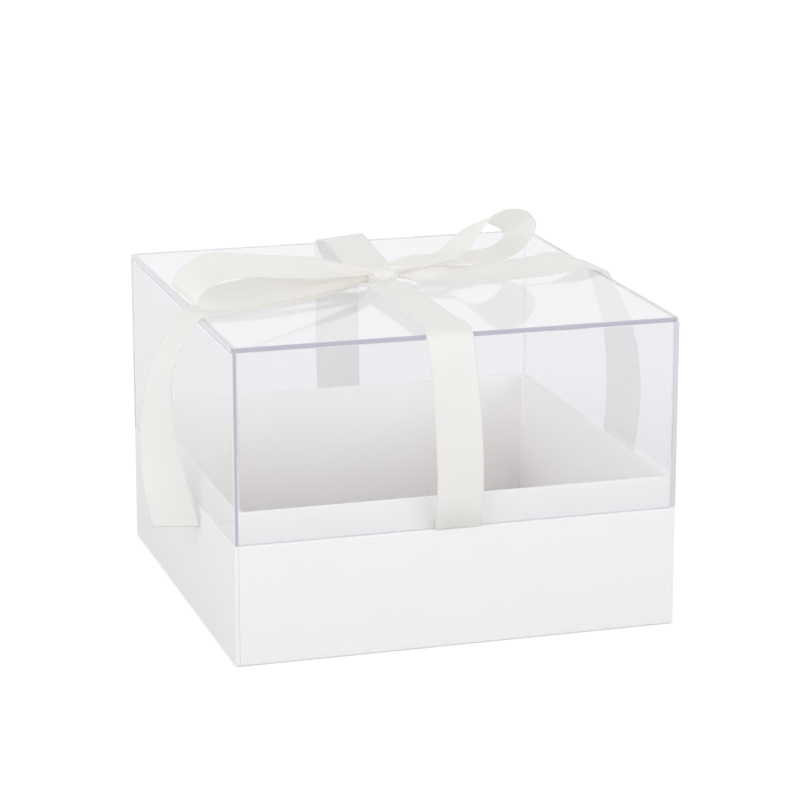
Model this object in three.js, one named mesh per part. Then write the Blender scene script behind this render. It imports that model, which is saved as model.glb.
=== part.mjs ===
// An acrylic flower box: a paper-covered rigid board base with a raised neck, a clear lid cemented from five
// acrylic panels, and satin ribbon that bands the lid and is tied on top in a bow. Millimetres, +Z up.
// The origin is the middle of the underside, +X is to the right and -Y is the front.
import * as THREE from "three";

// Box
const boxWidth = 240; // along X, outside the paper
const boxDepth = 240; // along Y, outside the paper
const baseHeight = 64; // up to the rim that the lid sits on
const neckRise = 17.5; // of the neck above the rim
const lidHeight = 103.5; // from the lid's lower edge to its top
const lidSeatGap = 0.5; // left under the lid by the ribbon's tucked ends

// Board, paper and acrylic
const boardThick = 2;
const paperThick = 0.25;
const glueThick = 0.25; // the glue film that the corner tapes lie in
const acrylicThick = 2.5;
const linerThick = 0.75;
const neckToLid = 0.5; // play between the neck's paper and the lid's inner faces
const linerPlay = 0.25; // round the floor liner
const rimTurnIn = 19; // of the outer paper, down inside the tray
const underTurnIn = 18; // of the outer paper, under the floor
const neckTurnOut = 40; // of the neck's paper, down its outer face
const underSheetInset = 3; // of the underside sheet, from the base's edges
const tapeArm = 12; // of each corner tape, along each wall
const tapeEndGap = 6; // from the tape's ends to the rim and the underside

// Ribbon
const ribbonWidth = 25;
const ribbonThick = 0.25;
const ribbonClear = 0.125; // from the ribbon's face to the acrylic it lies on
const tuckHeight = 5; // of each end of the band, inside the lid
const frontDropX = -1; // where the band's middle passes under the lid at the front
const frontEdgeX = -6.5; // where it crosses the top's front edge
const backEdgeX = 2.6; // where it crosses the back edge
const backDropX = 3; // where it passes under the lid at the back
const curveSteps = 4; // strips between two stations of a ribbon

// Knot and bow
const knotX = -8;
const knotY = 0;
const knotLength = 20;
const knotDepth = 14;
const knotHeight = 9;
const knotTurn = 18; // degrees from +X, to the line of the knot
const knotClear = 0.4; // from the knot to the ribbons that come out of it
const knotWaist = 0.8; // of the knot's section at its two ends
const knotSides = 20;
const knotRings = 8;
const leftLoopTurn = 199; // degrees from +X, to the line of the left loop
const rightLoopTurn = 20; // degrees from +X, to the line of the right loop

// Heights that follow from them
const sheetTop = paperThick;
const floorUnder = sheetTop + paperThick;
const floorTop = floorUnder + boardThick;
const linerTop = floorTop + linerThick;
const boardTop = baseHeight - paperThick;
const neckTop = baseHeight + neckRise;
const neckBoardTop = neckTop - paperThick;
const lidUnder = baseHeight + lidSeatGap;
const lidTop = lidUnder + lidHeight;
const lidPanelTop = lidTop - acrylicThick;

// Insets from the box's outer faces that follow from them
const boardOuter = paperThick + glueThick;
const boardInner = boardOuter + boardThick;
const turnInInner = boardInner + paperThick;
const neckOuter = acrylicThick + neckToLid;
const neckBoardOuter = neckOuter + paperThick;
const neckBoardInner = neckBoardOuter + boardThick;
const neckInner = neckBoardInner + paperThick;
const linerEdge = neckInner + linerPlay;

const materials = {
  paper: { color: 0xf4f3f2, roughness: 0.75, metalness: 0 },
  board: { color: 0x9d9a94, roughness: 0.9, metalness: 0 },
  tape: { color: 0xd9cfb8, roughness: 0.8, metalness: 0 },
  acrylic: { color: 0xeeeef6, roughness: 0.05, metalness: 0, transparent: true, opacity: 0.35 },
  satin: { color: 0xf1f0ea, roughness: 0.45, metalness: 0 },
};

const box = new THREE.Group();
const base = new THREE.Group();
const lid = new THREE.Group();
box.add(base, lid);

function addPiece(group, name, geometry, finish) {
  const mesh = new THREE.Mesh(geometry, new THREE.MeshStandardMaterial(materials[finish]));
  mesh.name = name;
  group.add(mesh);
}

// A block between two corners.
function addBlock(group, name, low, high, finish) {
  const [width, depth, height] = high.map((value, axis) => value - low[axis]);
  const [x, y, z] = high.map((value, axis) => (value + low[axis]) / 2);
  addPiece(group, name, new THREE.BoxGeometry(width, depth, height).translate(x, y, z), finish);
}

// A flat sheet that reaches to an inset from the box's faces.
function addSheet(group, name, inset, bottom, top, finish) {
  const [halfX, halfY] = [boxWidth / 2 - inset, boxDepth / 2 - inset];
  addBlock(group, name, [-halfX, -halfY, bottom], [halfX, halfY, top], finish);
}

// Four walls between an outer and an inner inset. Either the front and back walls run through to the corners and the
// sides stand between them, or the other way round.
function addWalls(group, prefix, suffix, outer, inner, bottom, top, finish, sidesRunThrough) {
  const [outX, outY] = [boxWidth / 2 - outer, boxDepth / 2 - outer];
  const [inX, inY] = [boxWidth / 2 - inner, boxDepth / 2 - inner];
  const endX = sidesRunThrough ? inX : outX;
  const endY = sidesRunThrough ? outY : inY;
  addBlock(group, `${prefix}_front_${suffix}`, [-endX, -outY, bottom], [endX, -inY, top], finish);
  addBlock(group, `${prefix}_back_${suffix}`, [-endX, inY, bottom], [endX, outY, top], finish);
  addBlock(group, `${prefix}_left_${suffix}`, [-outX, -endY, bottom], [-inX, endY, top], finish);
  addBlock(group, `${prefix}_right_${suffix}`, [inX, -endY, bottom], [outX, endY, top], finish);
}

// A closed surface from rows of points. Each row is a closed ring and neighbouring rows are joined; the first and last
// rows are capped, or joined to each other.
function ringSurface(rows, joinEnds) {
  const count = rows[0].length;
  const faces = [];
  const spans = joinEnds ? rows.length : rows.length - 1;
  for (let r = 0; r < spans; r += 1) {
    const here = r * count;
    const next = ((r + 1) % rows.length) * count;
    for (let i = 0; i < count; i += 1) {
      const j = (i + 1) % count;
      faces.push(here + i, here + j, next + j, here + i, next + j, next + i);
    }
  }
  if (!joinEnds) {
    const last = (rows.length - 1) * count;
    for (let i = 1; i < count - 1; i += 1) {
      faces.push(0, i + 1, i, last, last + i, last + i + 1);
    }
  }
  const geometry = new THREE.BufferGeometry();
  geometry.setAttribute("position", new THREE.Float32BufferAttribute(rows.flat(2), 3));
  geometry.setIndex(faces);
  geometry.computeVertexNormals();
  return geometry;
}

// A profile of [inset, height] points, counterclockwise, carried round the box's four sides with mitred corners.
function mitredFrame(profile) {
  const rows = [
    [-1, -1],
    [1, -1],
    [1, 1],
    [-1, 1],
  ].map(([sx, sy]) => profile.map(([inset, z]) => [sx * (boxWidth / 2 - inset), sy * (boxDepth / 2 - inset), z]));
  return ringSurface(rows, true);
}

// Base tray
addSheet(base, "underside_sheet", underSheetInset, 0, sheetTop, "paper");
addSheet(base, "tray_floor_board", boardInner, floorUnder, floorTop, "board");
addWalls(base, "tray", "board", boardOuter, boardInner, floorUnder, boardTop, "board", false);

// The outer paper wraps each wall, turns over the rim and down inside it, and turns in under the floor.
const outerWrap = [
  [0, sheetTop],
  [underTurnIn, sheetTop],
  [underTurnIn, floorUnder],
  [paperThick, floorUnder],
  [paperThick, boardTop],
  [boardInner, boardTop],
  [boardInner, baseHeight - rimTurnIn],
  [turnInInner, baseHeight - rimTurnIn],
  [turnInInner, baseHeight],
  [0, baseHeight],
];
addPiece(base, "outer_wrap_paper", mitredFrame(outerWrap), "paper");

// An L of gummed tape stands in the glue film round each corner of the tray, between the board and the outer paper.
function cornerTape(sx, sy) {
  const [outX, outY] = [boxWidth / 2 - paperThick, boxDepth / 2 - paperThick];
  const [inX, inY] = [outX - glueThick, outY - glueThick];
  const outline = [
    [outX - tapeArm, outY],
    [outX - tapeArm, inY],
    [inX, inY],
    [inX, outY - tapeArm],
    [outX, outY - tapeArm],
    [outX, outY],
  ].map(([x, y]) => new THREE.Vector2(sx * x, sy * y));
  const bottom = floorUnder + tapeEndGap;
  const depth = boardTop - tapeEndGap - bottom;
  return new THREE.ExtrudeGeometry(new THREE.Shape(outline), { depth, bevelEnabled: false }).translate(0, 0, bottom);
}

for (const [sy, end] of [
  [-1, "front"],
  [1, "back"],
]) {
  addPiece(base, `corner_tape_${end}_left`, cornerTape(-1, sy), "tape");
  addPiece(base, `corner_tape_${end}_right`, cornerTape(1, sy), "tape");
}

// Neck: four boards stand on the floor inside the tray, covered in paper outside, over the top and inside.
addWalls(base, "neck", "board", neckBoardOuter, neckBoardInner, floorTop, neckBoardTop, "board", false);
const neckWrap = [
  [neckOuter, neckTop - neckTurnOut],
  [neckBoardOuter, neckTop - neckTurnOut],
  [neckBoardOuter, neckBoardTop],
  [neckBoardInner, neckBoardTop],
  [neckBoardInner, floorTop],
  [neckInner, floorTop],
  [neckInner, neckTop],
  [neckOuter, neckTop],
];
addPiece(base, "neck_wrap_paper", mitredFrame(neckWrap), "paper");
addSheet(base, "floor_liner_card", linerEdge, floorTop, linerTop, "paper");

// Lid: the top panel covers the walls, and the front and back panels stand between the side panels.
addSheet(lid, "lid_top_panel", 0, lidPanelTop, lidTop, "acrylic");
addWalls(lid, "lid", "panel", 0, acrylicThick, lidUnder, lidPanelTop, "acrylic", true);

// A ribbon's middle surface is given by stations, each [x, y, z, yaw, pitch, share]: a point on its centre line, the
// direction across it in degrees from +X and above the horizon, and the share of its full width that is left where
// it is gathered. Catmull-Rom values lie between the stations.
function smoothed(stations) {
  const last = stations.length - 1;
  const rows = [];
  for (let i = 0; i < last; i += 1) {
    const [before, start, end, after] = [i - 1, i, i + 1, i + 2].map((k) => stations[Math.min(Math.max(k, 0), last)]);
    for (let step = 0; step < curveSteps; step += 1) {
      const t = step / curveSteps;
      const value = (p0, p1, p2, p3) =>
        p1 +
        0.5 * t * (p2 - p0 + t * (2 * p0 - 5 * p1 + 4 * p2 - p3 + t * (3 * (p1 - p2) + p3 - p0)));
      rows.push(start.map((_, k) => value(before[k], start[k], end[k], after[k])));
    }
  }
  rows.push(stations[last]);
  return rows;
}

// A closed strip of the ribbon's thickness along its stations, mitred where it turns.
function ribbonStrip(stations) {
  const centres = stations.map(([x, y, z]) => new THREE.Vector3(x, y, z));
  const sides = stations.map(([, , , yaw, pitch]) => {
    const [a, b] = [yaw, pitch].map((angle) => THREE.MathUtils.degToRad(angle));
    return new THREE.Vector3(Math.cos(a) * Math.cos(b), Math.sin(a) * Math.cos(b), Math.sin(b));
  });
  const faceOf = (k, side) => new THREE.Vector3().subVectors(centres[k + 1], centres[k]).cross(side).normalize();
  const rows = stations.map((station, i) => {
    const before = faceOf(Math.max(i - 1, 0), sides[i]);
    const after = faceOf(Math.min(i, stations.length - 2), sides[i]);
    const out = before.clone().add(after).normalize();
    out.multiplyScalar(ribbonThick / 2 / out.dot(before));
    const half = sides[i].clone().multiplyScalar((ribbonWidth * station[5]) / 2);
    return [
      [1, 1],
      [-1, 1],
      [-1, -1],
      [1, -1],
    ].map(([s, n]) => centres[i].clone().addScaledVector(half, s).addScaledVector(out, n).toArray());
  });
  return ringSurface(rows, false);
}

// Band: from inside the lid's front wall, under its lower edge, up the wall, over the top and down the back again.
// Rows run from the drop over the top's edge to the knot: [beyond the wall, above the top, share of the width, yaw,
// pitch].
const bandSeat = ribbonClear + ribbonThick / 2;
const bandUnder = baseHeight + lidSeatGap / 2;
const frontRows = [
  [2.2, -97, 1, 0, 0],
  [4.8, -91, 1, 0, 0],
  [7.6, -82, 1, 0, 0],
  [9.8, -68, 1, 0, 0],
  [10.3, -54, 1, 0, 0],
  [9.7, -40, 1, 0, 0],
  [8.4, -27, 1, 0, 0],
  [6.6, -15, 1, 0, 0],
  [4.2, -6, 1, 0, 0],
  [1.9, -0.6, 1, 0, 0],
  [-1.2, 2.2, 1, 0, 0],
  [-5.5, 3.1, 1, 0, -1],
  [-13, 3.2, 1, 0, -2],
  [-24, 3, 1, 0, -3.5],
  [-40, 2.8, 1, 0, -3.5],
  [-70, 3, 1, 0, -3.5],
  [-96, 3.2, 0.97, 0, -3],
  [-108, 3, 0.8, 0, -1],
];
const backRows = [
  [2.9, -70, 1, -12, 0],
  [3, -40, 1, -12, 0],
  [3.3, -18, 1, -13, 1],
  [3.6, -8, 1, -15, 3],
  [3.8, -2.8, 1, -15, 6],
  [2.4, 0.4, 1, -15, 7],
  [-2, 2.4, 1, -15, 8],
  [-8, 4, 1, -12, 8],
  [-14, 5, 1, -6, 6],
  [-25, 5.4, 1, -2, 3],
  [-45, 5.2, 1, 0, 0],
  [-70, 4.8, 1, 0, 0],
  [-90, 4.2, 0.97, 0, 0],
  [-105, 3, 0.8, 0, 0],
];

function bandArm(side, dropX, edgeX, armRows) {
  const wall = (boxDepth / 2) * side;
  const inside = wall - side * (acrylicThick + bandSeat);
  const outside = wall + side * bandSeat;
  const tuck = [
    [dropX, inside, bandUnder + tuckHeight, 0, 0, 1],
    [dropX, inside, bandUnder, 0, 0, 1],
  ];
  const arm = armRows.map(([beyond, above, share, yaw, pitch]) => {
    const [down, over] = [Math.max(-above / lidHeight, 0), Math.max(-beyond / (boxDepth / 2), 0)];
    const x = edgeX + (dropX - edgeX) * down + (knotX - edgeX) * over;
    return [x, outside + side * beyond, lidTop + bandSeat + above, yaw, pitch, share];
  });
  return { tuck, arm: [[dropX, outside, bandUnder, 0, 0, 1], ...arm] };
}

const frontArm = bandArm(-1, frontDropX, frontEdgeX, frontRows);
const backArm = bandArm(1, backDropX, backEdgeX, backRows);
const underKnot = [knotX, knotY, lidTop + bandSeat, 0, 0, 0.5];
const overLid = smoothed([...frontArm.arm, underKnot, ...backArm.arm.reverse()]);
addPiece(lid, "band_ribbon", ribbonStrip([...frontArm.tuck, ...overLid, ...backArm.tuck.reverse()]), "satin");

// Knot: a turn of ribbon drawn tight round the bow, narrower at its two ends.
function knotSolid() {
  const [a, flat] = [THREE.MathUtils.degToRad(knotTurn), 0.8];
  const middle = lidTop + bandSeat + ribbonThick / 2 + knotClear + knotHeight / 2;
  const rounded = (value) => Math.sign(value) * Math.abs(value) ** flat;
  const rows = [];
  for (let r = 0; r <= knotRings; r += 1) {
    const way = (2 * r) / knotRings - 1;
    const scale = THREE.MathUtils.lerp(1, knotWaist, way * way);
    const row = [];
    for (let i = 0; i < knotSides; i += 1) {
      const turn = (2 * Math.PI * i) / knotSides;
      const [along, across] = [(way * knotLength) / 2, rounded(Math.cos(turn)) * scale * (knotDepth / 2)];
      row.push([
        knotX + along * Math.cos(a) - across * Math.sin(a),
        knotY + along * Math.sin(a) + across * Math.cos(a),
        middle + rounded(Math.sin(turn)) * scale * (knotHeight / 2),
      ]);
    }
    rows.push(row);
  }
  return ringSurface(rows, false);
}
addPiece(lid, "bow_knot", knotSolid(), "satin");

// Loops: each row is [distance from the knot's end, sideways, above the lid, yaw, pitch, share of the width], along
// the loop's line from the knot's middle.
const leftLoop = [
  [0, -1, 10.8, -71, -13, 0.42],
  [10, -1.6, 12.1, -71, -15, 0.7],
  [24, -2.2, 14.5, -71, -17, 0.92],
  [42, -2.7, 16.8, -71, -19, 1],
  [66, -3.6, 20.5, -71, -20.5, 1],
  [86, -4.4, 23.9, -71, -21, 1],
  [98, -4.5, 24.2, -71, -20.5, 1],
  [107, -3.9, 21.3, -71, -18, 1],
  [113.2, -2.8, 16.4, -71, -15, 1],
  [114.6, -1.8, 12.2, -71, -14, 1],
  [111.5, -0.7, 8.2, -71, -14, 1],
  [102.5, 0, 6.2, -71, -15, 1],
  [88, 0.4, 5.8, -71, -19, 1],
  [70, 0.4, 6.7, -71, -22, 1],
  [50, 0.4, 7.4, -71, -22, 1],
  [32, 0.3, 7.4, -71, -20, 0.92],
  [18, 0, 7.2, -71, -17, 0.7],
  [0, 0, 7.2, -71, -12, 0.4],
];
const rightLoop = [
  [0, 0, 8.9, -73, 2, 0.42],
  [16, 0, 10.8, -73, 0, 0.8],
  [36.5, 0, 10.8, -71, 7, 1],
  [44.8, 0, 15.1, -73, 8, 1],
  [50.8, 0, 19.8, -78, 8, 1],
  [56.8, 0, 24.1, -83, 12, 1],
  [63.1, 0, 27.3, -84, 19, 1],
  [69.5, 0, 28.5, -79, 25, 1],
  [77.2, 0, 27.2, -69, 30, 1],
  [84.3, 0, 24.2, -60, 29, 1],
  [88.5, 0, 19, -57, 21, 1],
  [85.8, 0, 13.5, -60, 13, 1],
  [78.2, 0, 9.8, -66, 6, 1],
  [68.2, 0, 8, -76, 0, 1],
  [57.2, 0, 7, -86, -3, 1],
  [46.6, 0, 6.4, -90, 0, 0.96],
  [30, 0, 6.4, -88, 3, 0.8],
  [0, 0, 6.2, -74, 3, 0.44],
];

function loopStations(rows, turn) {
  const a = THREE.MathUtils.degToRad(turn);
  return rows.map(([distance, sideways, above, yaw, pitch, share]) => {
    const along = knotLength / 2 + knotClear + distance;
    const x = knotX + along * Math.cos(a) - sideways * Math.abs(Math.sin(a));
    const y = knotY + along * Math.sin(a) + sideways * Math.abs(Math.cos(a));
    return [x, y, lidTop + above, yaw, pitch, share];
  });
}
addPiece(lid, "bow_left_loop", ribbonStrip(smoothed(loopStations(leftLoop, leftLoopTurn))), "satin");
addPiece(lid, "bow_right_loop", ribbonStrip(smoothed(loopStations(rightLoop, rightLoopTurn))), "satin");

// Tails: rows on the lid are [share of the way from the knot to the edge, behind the knot's middle, above the lid, yaw,
// pitch, share of the width], and rows past the edge are [beyond the edge, behind the knot's middle, below the lid's
// top, yaw, pitch, share].
const leftTail = {
  onLid: [
    [0, -4.2, 4.4, -72, 0, 0.4],
    [0.159, -8.8, 1.8, -72, 0, 0.8],
    [0.427, -18.8, 0.7, -71, 0, 1],
    [0.713, -31.2, 0.9, -72, 0, 1],
    [0.914, -40.5, 1.9, -78, -2, 1],
  ],
  pastEdge: [
    [1.5, -43.5, -1.1, -86, -1, 1],
    [9, -44, 7, -82, -3, 1],
    [15.5, -44, 18.4, -81, -3, 1],
    [19.3, -43, 30, -75, -1, 1],
    [21.2, -42, 44, -66, 3, 1],
    [21.8, -41.5, 58.5, -56, 8, 1],
    [20.8, -41.5, 72.6, -47, 11, 1],
    [19, -41.5, 84, -37, 12, 1],
    [16.2, -41.5, 99, -29, 9, 1],
    [12.7, -42, 114.5, -26, 3, 1],
  ],
};
const rightTail = {
  onLid: [
    [0, 3, 4, -74, -4, 0.4],
    [0.123, 0, 2.8, -78, -8, 0.72],
    [0.277, -1.2, 2.9, -80, -9, 1],
    [0.403, -1, 2.7, -80, -10, 1],
    [0.519, -2, 3.6, -79, -11, 1],
    [0.625, -2.6, 4.5, -78, -12, 1],
    [0.731, -1.8, 5.4, -76, -13, 1],
    [0.808, 1.2, 6, -74, -13, 1],
    [0.886, 5.4, 5, -76, -9, 1],
    [0.957, 7, 2.2, -81, -4, 1],
  ],
  pastEdge: [
    [1.6, 7.2, -0.7, -83, -1, 1],
    [4.8, 7.2, 6.5, -80, 0, 1],
    [10, 7.2, 17, -74, 0, 1],
    [15.2, 7.2, 31, -68, 0, 1],
    [18.6, 7.2, 47, -64, 0, 1],
    [20, 7.2, 63, -62, 0, 1],
    [20, 7.2, 79, -62, 0, 1],
    [18.5, 7.2, 95, -64, 0, 1],
    [16, 7.2, 111, -66, 0, 1],
  ],
};

function tailStations({ onLid, pastEdge }, side) {
  const a = THREE.MathUtils.degToRad(knotTurn);
  const start = knotX + (side * (knotLength / 2 + knotClear) - onLid[0][1] * Math.sin(a)) / Math.cos(a);
  const edge = side * (boxWidth / 2);
  const onTop = ([way, y, above, ...rest]) => [
    THREE.MathUtils.lerp(start, edge, way),
    knotY + y,
    lidTop + above,
    ...rest,
  ];
  const hanging = ([beyond, y, below, ...rest]) => [edge + side * beyond, knotY + y, lidTop - below, ...rest];
  return [...onLid.map(onTop), ...pastEdge.map(hanging)];
}
addPiece(lid, "bow_left_tail", ribbonStrip(smoothed(tailStations(leftTail, -1))), "satin");
addPiece(lid, "bow_right_tail", ribbonStrip(smoothed(tailStations(rightTail, 1))), "satin");

export default box;
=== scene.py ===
"""Looks for an acrylic flower box: paper-wrapped board, a clear acrylic lid and a satin ribbon tied in a bow."""

import math

import bpy
import numpy as np
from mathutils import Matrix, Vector


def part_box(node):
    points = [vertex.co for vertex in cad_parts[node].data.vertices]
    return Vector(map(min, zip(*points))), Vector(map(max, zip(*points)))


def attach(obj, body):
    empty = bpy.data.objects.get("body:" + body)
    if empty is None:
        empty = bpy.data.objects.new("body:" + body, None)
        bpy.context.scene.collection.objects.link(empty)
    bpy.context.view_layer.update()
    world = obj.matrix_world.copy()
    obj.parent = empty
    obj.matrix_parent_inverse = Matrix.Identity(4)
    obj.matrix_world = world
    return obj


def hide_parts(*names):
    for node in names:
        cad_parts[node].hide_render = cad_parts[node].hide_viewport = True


bl_info = {
    "name": "Acrylic flower box",
    "version": (1, 0, 0),
    "blender": (4, 5, 0),
    "location": "3D View > Sidebar > Flower box",
    "description": "Dresses a flower box with wrapped board, clear acrylic and satin ribbon",
    "category": "Add Mesh",
}

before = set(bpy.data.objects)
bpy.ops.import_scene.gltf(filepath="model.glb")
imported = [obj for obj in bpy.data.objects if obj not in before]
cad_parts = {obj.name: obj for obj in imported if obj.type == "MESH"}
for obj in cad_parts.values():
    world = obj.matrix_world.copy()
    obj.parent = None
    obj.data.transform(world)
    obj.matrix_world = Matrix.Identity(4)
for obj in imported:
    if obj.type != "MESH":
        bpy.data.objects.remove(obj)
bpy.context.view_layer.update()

MM = 0.001
LID_LOW, LID_HIGH = map(np.array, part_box("lid_top_panel"))
WRAP_LOW, WRAP_HIGH = map(np.array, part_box("outer_wrap_paper"))
NECK_LOW, NECK_HIGH = map(np.array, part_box("neck_wrap_paper"))
WALL_LOW, WALL_HIGH = map(np.array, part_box("lid_front_panel"))
TRAY_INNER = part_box("tray_front_board")[1][1]  # y of the front wall's inner face
LID_TOP = LID_HIGH[2]
KNOT = np.mean(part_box("bow_knot"), axis=0)
KNOT_TURN = 18  # degrees from +X to the knot's line
KNOT_REACH = 14.4  # millimetres from the knot's middle to where its ribbons come out
SEAT = 0.25  # millimetres from the lid's faces to the middle of the ribbon on them
RIBBON_STEP = 1.2 * MM  # between two rows of a ribbon's surface
RIBBON_COLUMNS = 49

# Where the arc of each upright corner starts, and the signs of the corner's x and y.
CORNERS = ((math.pi, -1, -1), (1.5 * math.pi, 1, -1), (0, 1, 1), (0.5 * math.pi, -1, 1))

FLOAT, COLOUR = "NodeSocketFloat", "NodeSocketColor"


# ---- sizes, colours


class FlowerBoxSizes(bpy.types.PropertyGroup):
    """Sizes of the fine detail, in metres"""

    board_round: bpy.props.FloatProperty(
        name="Board edge", description="Radius of the wrap's edges and corners", default=0.7 * MM, unit="LENGTH"
    )
    neck_round: bpy.props.FloatProperty(
        name="Neck edge", description="Radius of the paper over the neck's top edge", default=0.6 * MM, unit="LENGTH"
    )
    paper: bpy.props.FloatProperty(
        name="Paper", description="Thickness of the wrapping paper", default=0.25 * MM, unit="LENGTH"
    )
    turn_in: bpy.props.FloatProperty(
        name="Turn-in", description="How far the paper turns down inside the tray", default=19 * MM, unit="LENGTH"
    )
    under_turn: bpy.props.FloatProperty(
        name="Turn-under", description="How far the paper turns in under the floor", default=18 * MM, unit="LENGTH"
    )
    panel_round: bpy.props.FloatProperty(
        name="Acrylic edge", description="Radius of the polished edges", default=0.4 * MM, unit="LENGTH"
    )
    lid_corner: bpy.props.FloatProperty(
        name="Lid corner", description="Radius of the top panel's corners, from above", default=1.4 * MM, unit="LENGTH"
    )
    panel_joint: bpy.props.FloatProperty(
        name="Cement line", description="Width of the line between two panels", default=0.06 * MM, unit="LENGTH"
    )
    ribbon_width: bpy.props.FloatProperty(
        name="Ribbon width", description="Width of the satin ribbon", default=25 * MM, unit="LENGTH"
    )
    ribbon_thick: bpy.props.FloatProperty(
        name="Ribbon thickness", description="Thickness of the satin ribbon", default=0.28 * MM, unit="LENGTH"
    )


class FlowerBoxFinishes(bpy.types.PropertyGroup):
    """Colours and surface values"""

    paper_colour: bpy.props.FloatVectorProperty(
        name="Paper", description="Colour of the white wrap", subtype="COLOR", default=(0.896, 0.891, 0.896)
    )
    # Lighter than the outer wrap: partly the neck paper's own colour, partly painted light that lifts the shade inside
    # the tray.
    inside_colour_and_light: bpy.props.FloatVectorProperty(
        name="Inside paper", description="Colour of the neck's paper", subtype="COLOR", default=(0.962, 0.951, 0.94)
    )
    board_colour: bpy.props.FloatVectorProperty(
        name="Greyboard", description="Colour of the bare board", subtype="COLOR", default=(0.34, 0.33, 0.3)
    )
    tape_colour: bpy.props.FloatVectorProperty(
        name="Gummed tape", description="Colour of the corner tape", subtype="COLOR", default=(0.69, 0.62, 0.48)
    )
    acrylic_colour: bpy.props.FloatVectorProperty(
        name="Acrylic", description="Tint of the clear acrylic", subtype="COLOR", default=(0.932, 0.93, 0.95)
    )
    # The two edge colours paint the look of clear acrylic seen end-on: painted shade on the dark edges, painted light
    # on the pale ones.
    edge_shade_paint: bpy.props.FloatVectorProperty(
        name="Acrylic edge", description="Colour of a polished edge", subtype="COLOR", default=(0.53, 0.52, 0.605)
    )
    edge_light_paint: bpy.props.FloatVectorProperty(
        name="Painted edge light", description="Colour of an edge lit through", subtype="COLOR", default=(0.87, 0.87, 0.9)
    )
    ribbon_colour: bpy.props.FloatVectorProperty(
        name="Ribbon", description="Colour of the ivory satin", subtype="COLOR", default=(0.965, 0.958, 0.938)
    )
    room_light: bpy.props.FloatProperty(
        name="Room light", description="Strength of the even light from all sides", default=0.775
    )
    ceiling_share: bpy.props.FloatProperty(
        name="Ceiling share", description="How bright a mirror sees the ceiling, beside the walls", default=0.25
    )


# ---- shapes


def grid_faces(rows, cols, close_rows=False, close_cols=False):
    """Quads over a grid of rows by cols points, as one array. Closing a direction joins its last line to its first."""
    r = np.arange(rows if close_rows else rows - 1)[:, None]
    c = np.arange(cols if close_cols else cols - 1)[None, :]
    r2, c2 = (r + 1) % rows, (c + 1) % cols
    corners = np.stack(np.broadcast_arrays(r * cols + c, r * cols + c2, r2 * cols + c2, r2 * cols + c), axis=-1)
    return corners.reshape(-1, 4)


def capped_faces(rows, cols):
    """Quads over a row of closed rings, and one flat face over each end of it."""
    ends = [list(range(cols))[::-1], list(range((rows - 1) * cols, rows * cols))]
    return grid_faces(rows, cols, False, True).tolist() + ends


def add_surface(name, points, faces, uv=None):
    """One smooth mesh object from an array of points and a list or array of faces, with an optional UV per point."""
    mesh = bpy.data.meshes.new(name)
    mesh.from_pydata(points.reshape(-1, 3), [], faces)
    mesh.shade_smooth()
    if uv is not None:
        loops = np.empty(len(mesh.loops), np.int32)
        mesh.loops.foreach_get("vertex_index", loops)
        layer = mesh.uv_layers.new(name="Ribbon")
        layer.data.foreach_set("uv", uv.reshape(-1, 2)[loops].astype(np.float32).ravel())
    piece = bpy.data.objects.new(name, mesh)
    bpy.context.scene.collection.objects.link(piece)
    return piece


def rounded_outline(corners, radii, steps=5):
    """A closed outline of (a, b) corners with each corner turned into an arc that is tangent to both its sides."""
    corners = np.asarray(corners, float)
    rows = []
    for k, radius in enumerate(radii):
        here, before, after = corners[k], corners[k - 1], corners[(k + 1) % len(corners)]
        back = (before - here) / np.linalg.norm(before - here)
        ahead = (after - here) / np.linalg.norm(after - here)
        if radius == 0:
            rows.append(here[None])
            continue
        centre = here + (back + ahead) * radius
        t = np.linspace(0, math.pi / 2, steps)[:, None]
        rows.append(centre - ahead * radius * np.cos(t) - back * radius * np.sin(t))
    return np.concatenate(rows)


def add_ring(name, outline, half, radius, steps=7, tightest=0.03 * MM):
    """A closed ring: an outline, counterclockwise in (inset, height), carried round a box with rounded upright corners.

    At each corner the point turns about a centre that is radius in from both faces, at distance radius - inset; a
    point deeper than the radius turns tightly about its own mitre.
    """
    inset, height = outline[:, 0], outline[:, 1]
    turn = np.maximum(radius - inset, tightest)
    angles = np.linspace(0, math.pi / 2, steps)
    rows = []
    for start, sx, sy in CORNERS:
        a = (start + angles)[:, None]
        x = sx * (half[0] - inset - turn) + turn * np.cos(a)
        y = sy * (half[1] - inset - turn) + turn * np.sin(a)
        rows.append(np.stack([x, y, np.broadcast_to(height, x.shape)], axis=-1))
    points = np.concatenate(rows)
    return add_surface(name, points, grid_faces(*points.shape[:2], True, True))


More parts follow.
